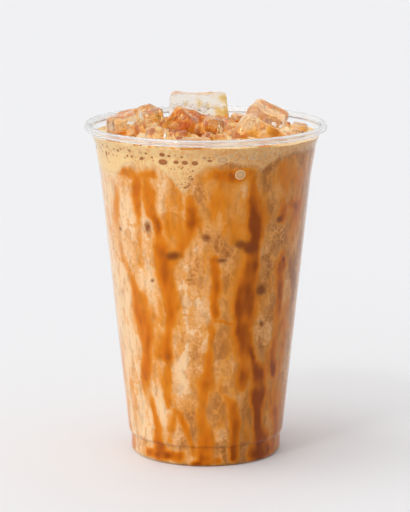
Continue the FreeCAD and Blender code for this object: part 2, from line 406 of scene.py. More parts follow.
def bubble_finish(colours):
    """Bubbles pressed against the wall, from dark specks to pale rounds, each with a thin pale ring. The brown
    inside, darker towards the ring, is painted shade in each bubble's hollow.
    """
    finish = Finish("bubbles")
    ring = finish.attribute("ring")
    tan, cream = linear(212, 156, 104), linear(240, 206, 160)
    # Painted shade: the inside of each bubble is brown and darker towards its ring, for the shade in its
    # hollow.
    inside = finish.ramp(
        finish.attribute("pale") - (ring - 0.5) * 0.25,
        [(0.0, colours.spot), (0.3, colours.bubble), (0.6, tan), (1.0, cream)],
    )
    film = finish.ramp(finish.attribute("pale"), [(0.1, linear(226, 166, 104)), (0.4, linear(248, 214, 160))])
    colour = finish.blend(ring.between(0.68, 0.88), inside, film)
    return finish.surface({"Base Color": colour, "Roughness": 0.3, "Specular IOR Level": 0.0})


def floor_finish(colour):
    finish = Finish("pale floor")
    return finish.surface({"Base Color": (*colour, 1), "Roughness": 0.7, "Specular IOR Level": 0.2})


# ---------------------------------------------------------------- modelling


@contextmanager
def edit_mode(select=None):
    """Edit mode on the active piece, first with all of it selected or deselected where that is asked for."""
    bpy.ops.object.mode_set(mode="EDIT")
    if select:
        bpy.ops.mesh.select_all(action=select)
    yield
    bpy.ops.object.mode_set(mode="OBJECT")


def pick(piece):
    """Selects one piece alone and makes it active."""
    bpy.ops.object.select_all(action="DESELECT")
    piece.select_set(True)
    bpy.context.view_layer.objects.active = piece


def close_ring(piece, radius, height):
    """Draws one ring of a turned piece together into a pole."""
    for vertex in piece.data.vertices:
        place = vertex.co
        off = abs(math.hypot(place.x, place.y) - radius) + abs(place.z - height)
        vertex.select = off < 0.001 * MM
    with edit_mode():
        bpy.ops.mesh.merge(type="CENTER")


def turned(name, rings, around, cuts=0):
    """A closed piece turned about the upright axis: a ring extruded up a section, its ends drawn together."""
    bpy.ops.object.select_all(action="DESELECT")
    radius, height = rings[0]
    bpy.ops.mesh.primitive_circle_add(vertices=around, radius=radius, location=(0, 0, 0))
    piece = bpy.context.object
    piece.name = piece.data.name = name
    with edit_mode():
        bpy.ops.mesh.select_mode(type="VERT")
        bpy.ops.mesh.select_all(action="SELECT")
        bpy.ops.transform.translate(value=(0, 0, height))
        for here, there in zip(rings, rings[1:]):
            bpy.ops.mesh.extrude_region_move(TRANSFORM_OT_translate={"value": (0, 0, there[1] - here[1])})
            grow = there[0] / here[0]
            bpy.ops.transform.resize(value=(grow, grow, 1), center_override=(0, 0, there[1]))
        bpy.ops.mesh.select_all(action="DESELECT")
    close_ring(piece, *rings[-1])
    close_ring(piece, *rings[0])
    with edit_mode("SELECT"):
        if cuts:
            bpy.ops.mesh.subdivide(number_cuts=cuts)
        bpy.ops.mesh.normals_make_consistent(inside=False)
    if cuts:
        set_places(piece, made_round(places_of(piece), around))
    return piece


def made_round(table, around):
    """Moves places between a turned piece's first corners out from the chord onto the circle."""
    angles = np.arctan2(table[:, 1], table[:, 0])
    half = math.pi / around
    off = np.mod(angles, 2 * half) - half
    scale = np.cos(off) / math.cos(half)
    table[:, :2] *= scale[:, None]
    return table


def arc(middle, radius, start, end, steps):
    """Rings along an arc of the half section, from one angle to another, in degrees."""
    angles = [math.radians(start + (end - start) * step / steps) for step in range(steps + 1)]
    return [(middle[0] + radius * math.cos(a), middle[1] + radius * math.sin(a)) for a in angles]


def eased(corners, reach):
    """Rounds each inner corner of a run of the half section with a short curve."""
    run = [corners[0]]
    for before, corner, after in zip(corners, corners[1:], corners[2:]):
        start, middle, end = Vector(before), Vector(corner), Vector(after)
        first = middle + (start - middle).normalized() * min(reach, (start - middle).length * 0.4)
        last = middle + (end - middle).normalized() * min(reach, (end - middle).length * 0.4)
        for share in (0, 0.25, 0.5, 0.75, 1):
            here = first.lerp(middle, share).lerp(middle.lerp(last, share), share)
            run.append((here.x, here.y))
    run.append(corners[-1])
    return run


def spread(run, step):
    """Adds rings along a run of the half section so that none are further apart than a step."""
    rings = [run[0]]
    for here, there in zip(run, run[1:]):
        parts = max(1, math.ceil(math.dist(here, there) / step))
        for part in range(1, parts + 1):
            share = part / parts
            rings.append((here[0] + (there[0] - here[0]) * share, here[1] + (there[1] - here[1]) * share))
    return rings


def places_of(piece, what="co"):
    """The piece's vertices as rows of a table."""
    table = np.empty(len(piece.data.vertices) * 3)
    piece.data.vertices.foreach_get(what, table)
    return table.reshape(-1, 3)


def normals_of(piece):
    return places_of(piece, "normal")


def set_places(piece, table):
    piece.data.vertices.foreach_set("co", table.ravel())
    piece.data.update()


def set_attribute(piece, name, values):
    layer = piece.data.attributes.get(name) or piece.data.attributes.new(name, "FLOAT", "POINT")
    layer.data.foreach_set("value", np.asarray(values, dtype=np.float32))


def attribute_of(piece, name):
    values = np.empty(len(piece.data.vertices), dtype=np.float32)
    piece.data.attributes[name].data.foreach_get("value", values)
    return values


def smooth(piece, degrees):
    pick(piece)
    bpy.ops.object.shade_smooth_by_angle(angle=math.radians(degrees))


def apply_modifier(piece, kind, **settings):
    """Adds a modifier with its settings and applies it."""
    pick(piece)
    modifier = piece.modifiers.new(kind.title(), kind)
    for name, value in settings.items():
        setattr(modifier, name, value)
    bpy.ops.object.modifier_apply(modifier=modifier.name)


def finish_piece(piece, material, replaces=()):
    """Gives a piece its material and its place in the frame."""
    piece.data.materials.clear()
    piece.data.materials.append(material)
    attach(piece, "root")
    if replaces:
        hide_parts(*replaces)


def joined(pieces, name):
    """Joins pieces into one."""
    bpy.ops.object.select_all(action="DESELECT")
    for piece in pieces:
        piece.select_set(True)
    bpy.context.view_layer.objects.active = pieces[0]
    bpy.ops.object.join()
    pieces[0].name = pieces[0].data.name = name
    return pieces[0]


def own_copy(piece):
    """A copy of a piece with a mesh of its own."""
    twin = piece.copy()
    twin.data = piece.data.copy()
    bpy.context.scene.collection.objects.link(twin)
    return twin


def copy_of(node, name):
    """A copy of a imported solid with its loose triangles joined."""
    piece = own_copy(frame["nodes"][node])
    piece.name = piece.data.name = name
    pick(piece)
    with edit_mode("SELECT"):
        bpy.ops.mesh.remove_doubles(threshold=0.002 * MM)
    return piece


def ice_cube(size, scale, bevel, segments, voxel):
    """A stretched cube with rounded edges and an even mesh."""
    bpy.ops.object.select_all(action="DESELECT")
    bpy.ops.mesh.primitive_cube_add(size=size)
    cube = bpy.context.object
    with edit_mode("SELECT"):
        bpy.ops.transform.resize(value=scale)
        bpy.ops.mesh.bevel(offset=bevel, segments=segments, affect="EDGES")
    apply_modifier(cube, "REMESH", mode="VOXEL", voxel_size=voxel)
    return cube


def waves(table, size, seed, count=12):
    """Smooth seeded noise, mostly between -1 and 1, with lumps of about one size, in metres."""
    draw = np.random.RandomState(seed)
    total = np.zeros(len(table))
    for _ in range(count):
        way = draw.normal(size=3)
        way *= draw.uniform(0.6, 1.5) / np.linalg.norm(way)
        total += np.sin(table @ way * (math.pi / size) + draw.uniform(0, 2 * math.pi))
    return total / math.sqrt(count)


def step_between(values, low, high):
    """0 below low, 1 above high and smooth between."""
    share = np.clip((values - low) / (high - low), 0, 1)
    return share * share * (3 - 2 * share)


# ---------------------------------------------------------------- the cup's section


def outer_wall(cup):
    """Outside of the cup from its heel to its bead, as corners of the half section."""
    return [
        (cup.foot_radius, cup.heel_radius),
        (cup.foot_radius, cup.band_height),
        (cup.foot_radius + cup.step_width, cup.band_height + cup.step_rise),
        (cup.rim_radius - cup.neck_inset, cup.height - cup.neck_drop),
        (cup.rim_radius - cup.shoulder_inset, cup.height - cup.shoulder_drop),
        (cup.rim_radius - cup.collar_inset, cup.height - cup.collar_drop),
        (cup.rim_radius - 2 * cup.bead_radius + cup.wall, cup.height - cup.bead_drop),
    ]


def wall_radius(cup, heights):
    """Inside radius of the wall at each height."""
    wall = outer_wall(cup)
    radii = np.interp(heights, [height for _, height in wall], [radius for radius, _ in wall]) - cup.wall
    inner = cup.heel_radius - cup.wall
    heel = np.clip((cup.heel_radius - heights) / inner, 0, 1)
    return radii - inner * (1 - np.sqrt(1 - heel**2))


def standing_ring(cup):
    """Inside radius of the flat ring that the cup stands on."""
    return cup.foot_radius - cup.heel_radius - cup.ring_width


def heel_arc(cup, radius, start, end, steps):
    """Rings round the rounded edge of the foot."""
    return arc((cup.foot_radius - cup.heel_radius, cup.heel_radius), radius, start, end, steps)


def floor_height(cup, radii):
    """Inside height of the cup's floor at each distance from the axis."""
    ring = standing_ring(cup)
    return np.interp(radii, [ring - cup.punt_slope, ring], [cup.punt_rise + cup.wall, cup.wall])


def wall_rings(cup, low, top, step):
    """Rings up the inside of the wall from one height to another."""
    corners = [height for _, height in outer_wall(cup) if low < height < top]
    return spread([(float(wall_radius(cup, height)), height) for height in (low, *corners, top)], step)


def filling_rings(cup, top, step):
    """Rings of what fills the cup from the middle of its floor up the wall to a height."""
    ring, raised = standing_ring(cup), cup.punt_rise + cup.wall
    floor = [(3 * MM, raised), (ring - cup.punt_slope, raised), (ring, cup.wall)]
    heel = heel_arc(cup, cup.heel_radius - cup.wall, -90, 0, 2)
    return spread(floor, 8 * MM) + heel + wall_rings(cup, cup.heel_radius, top, step)[1:]


def pressed_out(table, cup, reach):
    """Moves what lies on the cup's inside into its wall, by one reach or one for each place, and its floor."""
    radii = np.hypot(table[:, 0], table[:, 1])
    heights = table[:, 2]
    on_wall = (np.abs(radii - wall_radius(cup, heights)) < 0.15 * MM) & (heights > cup.heel_radius - cup.wall)
    scale = np.where(on_wall, (wall_radius(cup, heights) + reach) / np.maximum(radii, MM), 1)
    on_floor = ~on_wall & (heights < floor_height(cup, radii) + 1.5 * MM)
    on_floor &= heights < cup.heel_radius + cup.wall
    table[:, :2] *= scale[:, None]
    table[:, 2] -= np.where(on_floor, FLOOR_REACH, 0)
    return table


# ---------------------------------------------------------------- where the syrup and froth lie

# Each run of syrup goes through places given as degrees, height in mm, half width in mm and strength.
RUNS = [
    # left of the front, from the froth down to the foot
    [(-52, 120, 2, 0.45), (-40, 120, 3, 0.6), (-29, 120, 2, 0.5)],
    [(-39, 118, 3.5, 0.7), (-40, 112, 3, 0.72), (-41, 108, 2.5, 0.6), (-40, 102, 1.5, 0.35)],
    [(-33, 118, 2.5, 0.5), (-32, 109, 3, 0.62), (-31, 104, 2.2, 0.65), (-27, 101, 2.2, 0.7),
     (-27, 97, 2.6, 0.78), (-26, 92, 4.6, 0.62), (-25, 86, 5.4, 0.62), (-24, 80, 4.2, 0.68),
     (-22, 72, 4.2, 0.64), (-21, 68, 4.6, 0.66), (-22, 63, 3, 0.64), (-24, 57, 2.5, 0.66),
     (-26, 51, 2.5, 0.66), (-26, 46, 3, 0.7)],
    [(-70, 94, 1.5, 0.3), (-61, 96, 4, 0.34), (-58, 86, 2.4, 0.36), (-52, 78, 2.4, 0.42),
     (-48, 72, 3.4, 0.5), (-43, 66, 6.5, 0.58), (-40, 59, 6, 0.62), (-41, 53, 3.8, 0.66),
     (-42, 47, 2.4, 0.64), (-43, 41, 3, 0.62), (-45, 36, 3.2, 0.62), (-44, 31, 2.6, 0.56),
     (-42, 27, 1.8, 0.52), (-38, 21, 1.8, 0.58), (-37, 15, 2, 0.62), (-38, 9, 2.6, 0.68),
     (-38, 5, 3.5, 0.76)],
    [(-40, 103, 1.4, 0.34), (-41, 84, 1.6, 0.3)],
    [(-61, 115, 1.5, 0.26), (-60, 105, 1.5, 0.2)],
    [(-27, 41, 2.4, 0.5), (-27, 34, 3.2, 0.6), (-27, 28, 2.2, 0.56), (-27, 25, 1, 0.5)],
    [(-27, 22, 1.2, 0.36), (-28, 10, 1.2, 0.36)],
    [(-21, 24, 1.2, 0.4), (-24, 17, 1.8, 0.52), (-26, 11, 1.8, 0.54)],
    [(-19, 23, 1.2, 0.45), (-14, 16, 1.5, 0.5), (-11, 10, 1.4, 0.5), (-8, 6, 1.4, 0.5)],
    # thin syrup washed over wide places
    [(-17, 118, 5, 0.36), (-18, 108, 6, 0.4), (-19, 98, 6, 0.42), (-20, 90, 5, 0.4)],
    [(8, 113, 9, 0.42), (12, 103, 8, 0.4), (18, 95, 5, 0.32)],
    [(44, 120, 7, 0.44), (54, 112, 8, 0.44), (60, 100, 7, 0.4), (64, 86, 5, 0.36)],
    [(33, 84, 5, 0.34), (32, 70, 5, 0.36), (31, 58, 5, 0.34)],
    [(58, 66, 5, 0.34), (60, 50, 5, 0.4), (58, 36, 5, 0.36), (62, 22, 6, 0.42), (60, 10, 5, 0.46)],
    [(-47, 66, 6, 0.46), (-36, 64, 6, 0.46), (-30, 60, 4, 0.42)],
    [(-56, 112, 3, 0.3), (-62, 98, 4, 0.34)],
    [(-16, 80, 4, 0.3), (-13, 58, 3, 0.18), (-13, 40, 3, 0.18), (-11, 26, 3, 0.26)],
    [(12, 56, 4, 0.24), (14, 44, 3, 0.22), (12, 30, 3, 0.22), (10, 18, 3, 0.22)],
    [(30, 22, 3, 0.26), (31, 12, 3, 0.3)],
    [(-62, 30, 3, 0.26), (-60, 14, 4, 0.34)],
    # between the left run and the front
    [(-7, 111, 2.2, 0.5), (-7, 107, 3, 0.72), (-7, 102, 3.2, 0.8), (-9, 98, 2.2, 0.62), (-14, 93, 2.4, 0.5),
     (-17, 89, 3, 0.52), (-21, 85, 3, 0.6)],
    # across the top of the front
    [(-4, 118, 2, 0.3), (4, 121, 3, 0.5), (14, 120, 3.2, 0.62), (23, 122, 3, 0.58)],
    [(2, 116, 4, 0.36), (10, 112, 6, 0.4), (14, 104, 6, 0.36), (15, 98, 4, 0.28)],
    # the longest run, right of the front
    [(24, 121, 2.4, 0.5), (25, 116, 2.8, 0.68), (26, 110, 3.8, 0.82), (27, 105, 4, 0.92),
     (28, 100, 4.2, 0.94), (30, 96, 2.8, 0.9), (28, 91, 3.2, 0.82), (28, 86, 3.8, 0.84), (27, 80, 4.2, 0.9),
     (26, 74, 4.6, 0.92), (25, 68, 5.4, 0.94), (25, 62, 5.4, 0.94), (24, 56, 4, 0.9), (26, 50, 3, 0.84),
     (26, 44, 3, 0.8), (26, 38, 3.8, 0.76), (25, 34.5, 3, 0.74)],
    [(28, 55, 2.4, 0.8), (30, 48, 1.8, 0.72), (33, 43, 2, 0.74), (38, 38, 3.6, 0.82), (39, 32, 4.4, 0.88),
     (39, 26, 4, 0.92), (40, 20, 3, 0.92), (41, 14, 3, 0.92), (45, 9, 5, 0.95), (46, 4, 6, 0.96)],
    [(44, 112, 2, 0.4), (48, 105, 2.6, 0.78), (48, 101, 2.6, 0.8)],
    [(48, 105, 2, 0.5), (56, 107, 2.4, 0.66), (63, 105, 3, 0.66)],
    [(44, 122, 4, 0.42), (52, 118, 5, 0.46), (60, 112, 5, 0.42), (66, 120, 4, 0.36)],
    [(52, 86, 1.6, 0.6), (52, 82, 2.8, 0.72), (51, 77, 3.2, 0.74), (52, 70, 3.2, 0.76), (51, 62, 2.8, 0.72),
     (50, 56, 2.4, 0.6), (50, 50, 2.8, 0.72), (50, 44, 2.8, 0.78), (52, 38, 2.6, 0.82)],
    [(53, 57, 2.4, 0.5), (61, 56, 3, 0.46), (68, 54, 2, 0.4)],
    # thin runs at the front
    [(5, 87, 2, 0.7), (6, 80, 2, 0.6), (6, 74, 1.6, 0.56), (4, 70, 1.8, 0.62), (5, 64, 2, 0.66),
     (3, 60, 2, 0.66), (4, 56, 1.8, 0.6), (2, 48, 1.8, 0.5), (1, 42, 1.6, 0.46), (0, 38, 2.2, 0.6),
     (-1, 35, 2.8, 0.66), (-3, 29, 2.6, 0.62), (-3, 23, 2.4, 0.6), (-2, 18, 2.6, 0.6), (0, 13, 3, 0.62),
     (0, 9, 3.2, 0.7), (0, 4, 3.4, 0.92)],
    [(2, 60, 0.5, 0.7), (9, 61.5, 0.5, 0.62), (17, 60, 0.5, 0.6)],
    [(12, 30, 1.4, 0.3), (19, 25, 2.6, 0.55), (21, 18, 2.8, 0.64), (21, 13, 2.6, 0.7), (21, 9, 2.4, 0.72),
     (21, 4, 2.4, 0.9)],
    [(52, 26, 2, 0.36), (58, 18, 4, 0.52), (64, 12, 4, 0.54), (62, 4, 3.4, 0.8)],
    # round the foot
    [(-48, 4, 2.0, 0.84), (-34, 3.4, 2.4, 0.94), (-21, 4, 2.0, 0.86)],
    [(-8, 1.6, 1.4, 0.76), (8, 1.6, 1.6, 0.76)],
    [(40, 4, 4, 0.95), (54, 4, 4, 0.94)],
    # the two sides
    [(84, 124, 3, 0.46), (86, 112, 3, 0.6), (84, 98, 2.4, 0.5), (87, 84, 2.8, 0.62), (86, 70, 3.6, 0.68),
     (84, 58, 2.6, 0.7), (85, 50, 3, 0.74)],
    [(94, 96, 1.8, 0.36), (96, 80, 2, 0.44), (94, 62, 1.8, 0.4), (96, 44, 2.4, 0.5), (95, 30, 3.4, 0.6),
     (92, 16, 3.2, 0.62), (94, 5, 4.4, 0.74)],
    [(76, 40, 1.6, 0.4), (77, 28, 2.4, 0.52), (80, 14, 2.6, 0.56), (78, 4, 3.4, 0.7)],
    [(-84, 112, 1.8, 0.34), (-86, 96, 2.4, 0.46), (-84, 82, 2, 0.4), (-87, 66, 2.8, 0.52),
     (-85, 52, 2.6, 0.56), (-86, 40, 2.8, 0.6)],
    [(-96, 122, 3, 0.5), (-95, 104, 2.6, 0.56), (-98, 84, 2, 0.44), (-96, 60, 2.4, 0.5), (-99, 36, 2.2, 0.5),
     (-97, 18, 3, 0.58), (-98, 5, 4, 0.72)],
    [(-74, 46, 1.4, 0.3), (-73, 30, 1.8, 0.38), (-75, 14, 2, 0.42), (-74, 4, 3, 0.6)],
]

# Soft spots of strong coffee behind the wall: degrees, height, half width and half height in mm, and
# tilt in degrees.
SPOTS = [
    (0.5, 96, 1.6, 1.6, 0), (20.5, 92.6, 2.8, 1.8, -20), (25, 91, 3.8, 2.1, -24), (-19, 88, 3.2, 1.8, 10),
    (35, 73, 2.8, 2.3, 20), (-34, 99, 1.6, 2.2, 0), (9, 86.5, 2.0, 1.0, 0), (-33, 77, 0.8, 0.7, 0),
    (-57, 96, 0.9, 0.8, 0), (37, 59, 1.0, 1.6, 30), (52, 84, 1.0, 1.2, 0), (45, 101, 1.6, 1.4, 0),
]

# Lower edge of the froth against the wall, as degrees and height in mm.
FROTH_EDGE = [
    (-180, 125), (-155, 124), (-128, 117), (-112, 123.5), (-98, 121), (-84, 119), (-66, 118), (-53, 119.5),
    (-47, 123.5), (-25, 124), (-20, 121), (-12, 114), (-5, 120.5), (0, 124.8), (18, 125), (26, 124.4),
    (31, 122), (36, 125), (41, 127), (75, 127), (92, 125.5), (118, 121), (133, 124), (149, 117),
    (163, 123.5), (180, 125),
]

# How strong the milk coffee looks round the cup, as degrees and strength; the high values round the right side
# are partly painted shade.
STRENGTH_AND_SHADE = [
    (-180, 0.45), (-140, 0.62), (-115, 0.3), (-90, 0.06), (-60, 0.02), (-40, 0.16), (-12, 0.5), (10, 0.8),
    (32, 0.9), (50, 0.92), (72, 0.95), (100, 0.6), (128, 0.24), (150, 0.3), (180, 0.45),
]

# Syrup lying on top between the ice: right, back, radius in mm and strength.
TOP_POOLS = [
    (-13, -12, 9, 0.9), (-4, -10, 6, 0.86), (-2, 14, 10, 0.7), (8, 6, 8, 0.75), (-35, 4, 7, 0.6),
    (-36, -14, 6, 0.56), (35, 20, 8, 0.66), (12, -14, 5, 0.5), (33, -4, 6, 0.62), (-12, 34, 8, 0.7),
    (14, 36, 9, 0.62), (-16, 20, 7, 0.66), (-10, -17, 6, 0.9), (2, -24, 4, 0.6), (24, -29, 5, 0.4),
]

# How much syrup lies over a block of ice, and how much more of it towards the right for each millimetre.
ICE_SYRUP = {
    "ice_back": (0.14, 0.024), "ice_left": (0.0, 0.02), "ice_far_left": (0.12, -0.01),
    "ice_chip_left": (0.0, 0), "ice_centre": (0.8, 0.02), "ice_middle": (0.55, 0),
    "ice_right": (-0.12, -0.03), "ice_front_right": (0.34, 0.02), "ice_far_right": (0.4, 0.02),
    "ice_chip_right": (-0.1, 0),
}

# Bubbles against the wall: degrees, height, half width and half height in mm, and how pale from 0 to 1.
BUBBLES = [
    (-22, 126, 2.3, 1.4, 0.3), (-15, 126.2, 1.3, 0.9, 0.3), (-10.5, 126.1, 1.5, 1, 0.3),
    (-5.5, 126, 1.6, 1.1, 0.3), (-22, 129, 1.4, 1, 0.3), (-34, 126.8, 1, 0.8, 0.3),
    (-40.5, 127, 0.8, 0.6, 0.3), (-43.5, 127, 0.7, 0.6, 0.3), (-62.5, 126, 0.9, 1.4, 0.3),
    (8.5, 127.2, 2.8, 1.7, 0.8), (18, 121, 2.2, 2.0, 0.8), (2, 127, 1.2, 0.6, 0.3),
    (-28, 127.5, 0.6, 0.5, 0.3), (-18.5, 128.6, 0.8, 0.6, 0.3), (-12, 128.4, 0.6, 0.5, 0.3),
    (12.5, 128.9, 1.3, 0.9, 0.85), (5, 129.4, 1.1, 0.7, 0.85), (24, 127.6, 1.8, 1.1, 0.85),
    (31, 128.4, 1.2, 0.8, 0.85), (-50, 128.6, 0.8, 0.7, 0.3), (-31, 129, 0.7, 0.5, 0.3),
    (40, 128.6, 0.9, 0.6, 0.85), (58, 128.2, 1.0, 0.8, 0.85), (84, 127, 1.7, 1.2, 0.3),
    (90, 127.6, 1.0, 0.8, 0.3), (-80, 126.6, 1.4, 1, 0.3), (-92, 127.4, 1.9, 1.3, 0.3),
    (-100, 126.4, 1.0, 0.9, 0.3), (102, 126.8, 1.4, 1, 0.85),
]

# Where small specks lie in the froth: degrees, half spread, lowest and highest in mm, and how many.
SPECKLED = [
    (-12, 9, 115.5, 124.6, 46), (-34, 14, 125, 127.6, 9), (-62, 12, 122, 127, 7), (10, 12, 125.4, 128.4, 8),
    (34, 5, 118, 123.5, 14), (40, 18, 127, 129, 6), (74, 16, 126, 129, 8), (110, 14, 122, 128, 14),
    (149, 9, 117.5, 127, 30), (178, 12, 124.8, 128, 10), (-150, 18, 124.8, 128, 14),
    (-128, 9, 118.5, 127, 30), (-98, 10, 122, 128, 10),
]

# Ice pressed to the wall under the surface: degrees, height, width and height in mm, and tilt in degrees.
SUNK_ICE = [
    (-9, 72, 9, 11, 12), (-14, 62, 6, 10, 4), (-34, 79, 9, 9, -8), (12, 84, 10, 8, 20),
    (36, 92, 9, 12, -12), (-4, 53, 12, 11, -6), (38, 68, 8, 14, 10), (-52, 52, 8, 13, 6),
    (12, 40, 9, 12, -4), (58, 70, 9, 12, 6), (-58, 108, 10, 14, -6), (-32, 32, 6, 12, 8), (42, 54, 7, 9, 0),
    (66, 40, 9, 12, -8), (10, 14, 8, 8, 10), (-66, 76, 8, 13, 10), (88, 92, 12, 11, 14),
    (104, 62, 10, 13, -10), (96, 28, 9, 11, 8), (128, 100, 11, 13, -14), (136, 70, 10, 11, 12),
    (152, 46, 11, 12, -6), (126, 32, 9, 12, 10), (172, 88, 12, 12, 8), (-172, 60, 10, 14, -12),
    (-158, 30, 10, 10, 6), (-148, 92, 10, 14, 10), (-134, 58, 11, 11, -8), (-118, 84, 10, 12, 8),
    (-112, 40, 9, 13, -6), (-92, 66, 10, 10, 12), (-88, 26, 9, 12, -4), (178, 20, 9, 9, 0),
]


def degrees_round(table):
    """Degrees round the cup from the front."""
    return np.degrees(np.arctan2(table[:, 0], -table[:, 1]))


def turned_over(runs):
    """The same runs on the far side of the cup, the other way round and a little lower."""
    return [
        [(180 - turn, max(height - 5, 2.5), half, force) for turn, height, half, force in run] for run in runs
    ]


def wrapped(degrees):
    return np.mod(degrees + 180, 360) - 180


def run_cover(degrees, heights, radii, runs):
    """How strongly runs of syrup cover each place on the wall. Heights and radii are in mm."""
    total = np.zeros(len(degrees))
    rise = 0.5 + 0.5 * step_between(heights, 6, 34)
    for run in runs:
        for here, there in zip(run, run[1:]):
            left = np.radians(wrapped(here[0] - degrees)) * radii
            right = left + math.radians(there[0] - here[0]) * radii
            low, high = here[1] - heights, there[1] - heights
            across, up = right - left, high - low
            along = np.clip(-(left * across + low * up) / (across**2 + up**2 + 1e-6), 0, 1)
            away = np.hypot(left + along * across, low + along * up)
            half = here[2] + (there[2] - here[2]) * along
            force = here[3] + (there[3] - here[3]) * along
            cover = force * (1 - step_between(away, 0.2 * half, 1.5 * half + 0.6))
            haze = 0.56 * force * np.exp(-((away / (1.3 * half + 2.2)) ** 2)) * rise
            total = np.maximum(total, np.maximum(cover, haze))
    return total


def paint(piece, cup, drink):
    """Sets a piece's attributes: brew, grainy, syrup, foam and blot."""
    table = places_of(piece)
    tall = table * (1, 1, 0.4)
    radii = np.hypot(table[:, 0], table[:, 1])
    heights = table[:, 2]
    degrees = degrees_round(table)
    inner = wall_radius(cup, heights)
    at_wall = radii > inner - 0.9 * MM

    turns = degrees + 0.9 * waves(tall, 5 * MM, 1) + 0.35 * waves(table, 2 * MM, 2)
    levels = heights / MM + 0.6 * waves(table, 5 * MM, 3) + 0.25 * waves(table, 2 * MM, 4)
    runs = RUNS + turned_over([run for run in RUNS if abs(run[0][0]) < 75])
    syrup = run_cover(turns, levels, inner / MM, runs)
    syrup *= 1 + 0.13 * waves(tall, 3 * MM, 5) + 0.1 * waves(table, 5 * MM, 16)
    syrup += 0.1 * waves(tall, 6 * MM, 17) * step_between(syrup, 0.1, 0.3) * (1 - syrup)
    wisps = step_between(waves(table * (1, 1, 0.22), 4 * MM, 6), 0.7, 1.9) * 0.32
    threads = step_between(waves(table * (1, 1, 0.1), 1.8 * MM, 15), 0.9, 1.9) * 0.24
    syrup = np.maximum(syrup, np.maximum(wisps, threads))

    # Strength round the cup, partly painted shade: darker round the right side, away from the lights on the
    # left.
    brew = np.interp(degrees, *zip(*STRENGTH_AND_SHADE), period=360)
    brew = brew + 0.16 * waves(tall, 8 * MM, 7) + 0.1 * waves(tall, 3 * MM, 8)
    brew = brew + 0.2 * (1 - step_between(heights, 3 * MM, 24 * MM))
    grainy = step_between(waves(table, 11 * MM, 9) + 0.3 * waves(table, 3 * MM, 10), 0.0, 1.2)
    grainy *= 0.3 + 0.7 * step_between(heights, 14 * MM, 34 * MM)

    edge = np.interp(degrees, *zip(*FROTH_EDGE), period=360)
    foam = step_between(levels - edge, -1.2, 1.2)

    blot = np.zeros(len(table))
    spots = SPOTS + [(180 - turn, height - 5, half, high, -tilt) for turn, height, half, high, tilt in SPOTS]
    for turn, height, half, high, tilt in spots:
        across = np.radians(wrapped(degrees - turn)) * inner / MM
        up = heights / MM - height
        lean = math.radians(tilt)
        long = (across * math.cos(lean) + up * math.sin(lean)) / half
        short = (up * math.cos(lean) - across * math.sin(lean)) / high
        away = np.hypot(long, short) + 0.12 * waves(table, 1.6 * MM, 11)
        blot = np.maximum(blot, 0.92 * (1 - step_between(away, 0.35, 1.5)))

    # inside the wall: the top and the hollows that the ice lies in
    pools = np.zeros(len(table))
    for right, back, radius, force in TOP_POOLS:
        away = np.hypot(table[:, 0] / MM - right, table[:, 1] / MM - back) / radius
        away = away + 0.22 * waves(table, 4 * MM, 12)
        pools = np.maximum(pools, force * (1 - step_between(away, 0.5, 1.25)))
    hollow = 0.1 * waves(table, 4 * MM, 13)
    sunk = step_between(drink.level - heights, 1.0 * MM, 3.0 * MM)
    inside_syrup = pools * (1 - sunk) + np.maximum(hollow, pools * 0.6) * sunk
    near_wall = step_between(radii, inner - 5 * MM, inner - 1.5 * MM)
    inside_foam = np.maximum((1 - sunk) * near_wall, 0.75 * (1 - step_between(pools, 0.1, 0.4)))

    set_attribute(piece, "syrup", np.where(at_wall, syrup * (1 - foam), inside_syrup * (1 - near_wall)))
    set_attribute(piece, "foam", np.where(at_wall, foam, inside_foam))
    set_attribute(piece, "brew", np.clip(np.where(at_wall, brew, 0.08 + 0.16 * waves(table, 5 * MM, 14)), 0, 1))
    set_attribute(piece, "grainy", np.where(at_wall, grainy, 0.4))
    set_attribute(piece, "blot", np.where(at_wall, blot, 0))
    return np.where(at_wall, syrup * (1 - foam), 0), np.where(at_wall, foam, 1)


# ---------------------------------------------------------------- pieces


def clean_cut(piece):
    """Clears most of what a cut leaves behind: folded faces, and crumbs apart from the piece."""
    with edit_mode():
        bpy.ops.mesh.select_mode(type="FACE")
        bpy.ops.mesh.select_all(action="SELECT")
        bpy.ops.mesh.remove_doubles(threshold=0.001 * MM)
        bpy.ops.mesh.dissolve_degenerate(threshold=0.003 * MM)
        bpy.ops.mesh.select_all(action="DESELECT")
    faces = {}
    for face in piece.data.polygons:
        faces.setdefault(frozenset(face.vertices), []).append(face)
    for twins in faces.values():
        for face in twins:
            face.select = len(twins) > 1
    with edit_mode():
        bpy.ops.mesh.delete(type="ONLY_FACE")
        bpy.ops.mesh.select_mode(type="VERT")
        bpy.ops.mesh.select_all(action="DESELECT")
    table = places_of(piece)
    piece.data.vertices[int(np.argmax(np.hypot(table[:, 0], table[:, 1])))].select = True
    with edit_mode():
        bpy.ops.mesh.select_linked()
        bpy.ops.mesh.select_all(action="INVERT")
        bpy.ops.mesh.delete(type="VERT")


def cut_by_ice(piece, deepest, inset):
    """Cuts the hollows for the ice, narrower than the ice by the inset, or wider where it is below 0."""
    tools = []
    for ice in [o for o in bpy.data.objects if o.name.startswith("melted_ice")]:
        tool = own_copy(ice)
        apply_modifier(tool, "DECIMATE", ratio=0.25)
        table = places_of(tool) - normals_of(tool) * inset
        table[:, 2] = np.maximum(table[:, 2], deepest)
        set_places(tool, table)
        tools.append(tool)
    tool = joined(tools, "hollows")
    apply_modifier(piece, "BOOLEAN", operation="DIFFERENCE", object=tool, solver="MANIFOLD")
    bpy.data.objects.remove(tool)
    clean_cut(piece)


